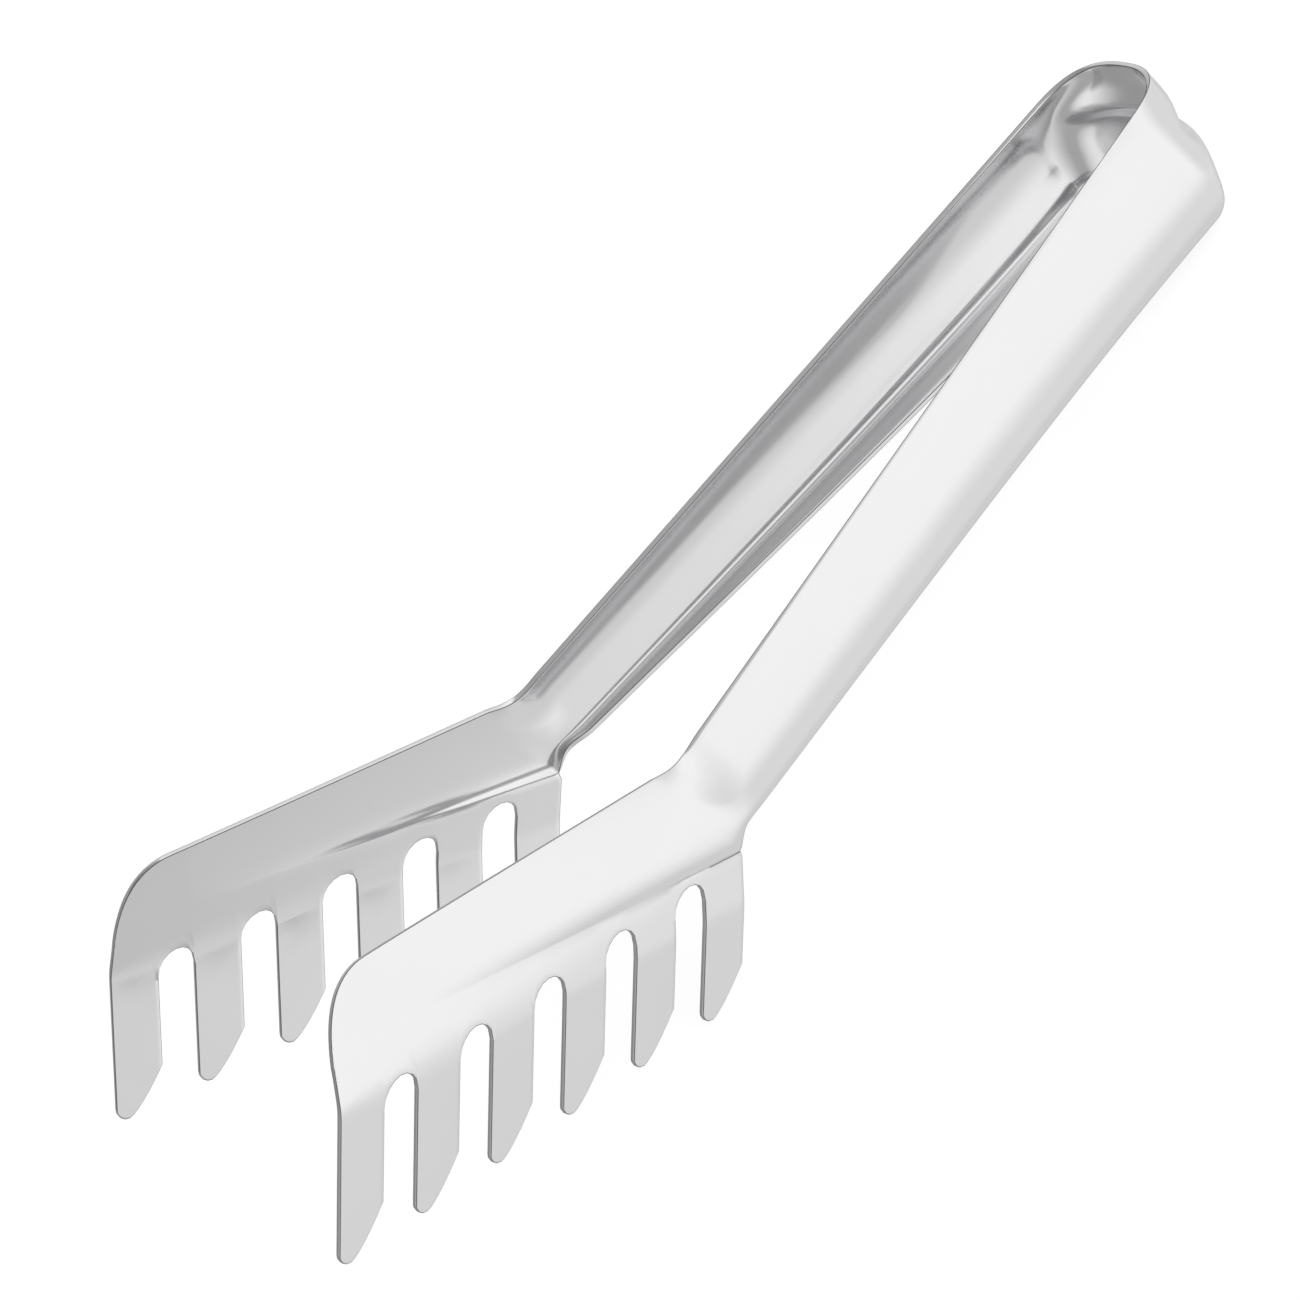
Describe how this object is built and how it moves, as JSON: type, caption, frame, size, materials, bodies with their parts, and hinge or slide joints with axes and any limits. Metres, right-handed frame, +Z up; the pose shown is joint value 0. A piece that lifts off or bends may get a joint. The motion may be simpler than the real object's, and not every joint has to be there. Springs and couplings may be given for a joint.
{
  "type": "serving tongs",
  "caption": "One-piece sprung steel serving tongs with channel-shaped handles, a grooved spring bow and two toothed comb heads for pasta or salad.",
  "frame": {"origin": "on the table under the middle of the tongs' bounding box, the tongs standing teeth down on the bow's lower edge and the two rear teeth", "axes": "+X from the spring bow towards the combs, +Y towards the left arm, +Z up"},
  "size_m": [0.201, 0.0634, 0.0546],
  "materials": {
    "polished_stainless": "polished"
  },
  "bodies": {
    "bow": {"spring_bow": "polished_stainless"},
    "left_arm": {"left_handle": "polished_stainless", "left_comb": "polished_stainless"},
    "right_arm": {"right_handle": "polished_stainless", "right_comb": "polished_stainless"}
  },
  "joints": [
    {"name": "left_flex", "type": "hinge", "parent": "bow", "child": "left_arm", "pos_m": [-0.08359, 0.0101, 0.01238], "axis": [0.0534, 0, -0.9986], "range_deg": [0, 9.1], "stiffness_Nm_per_rad": 3},
    {"name": "right_flex", "type": "hinge", "parent": "bow", "child": "right_arm", "pos_m": [-0.08359, -0.0101, 0.01238], "axis": [0.0534, 0, -0.9986], "range_deg": [-9.1, 0], "stiffness_Nm_per_rad": 3}
  ],
  "couplings": [
    {"joint": "right_flex", "follows": "left_flex", "ratio": -1}
  ]
}
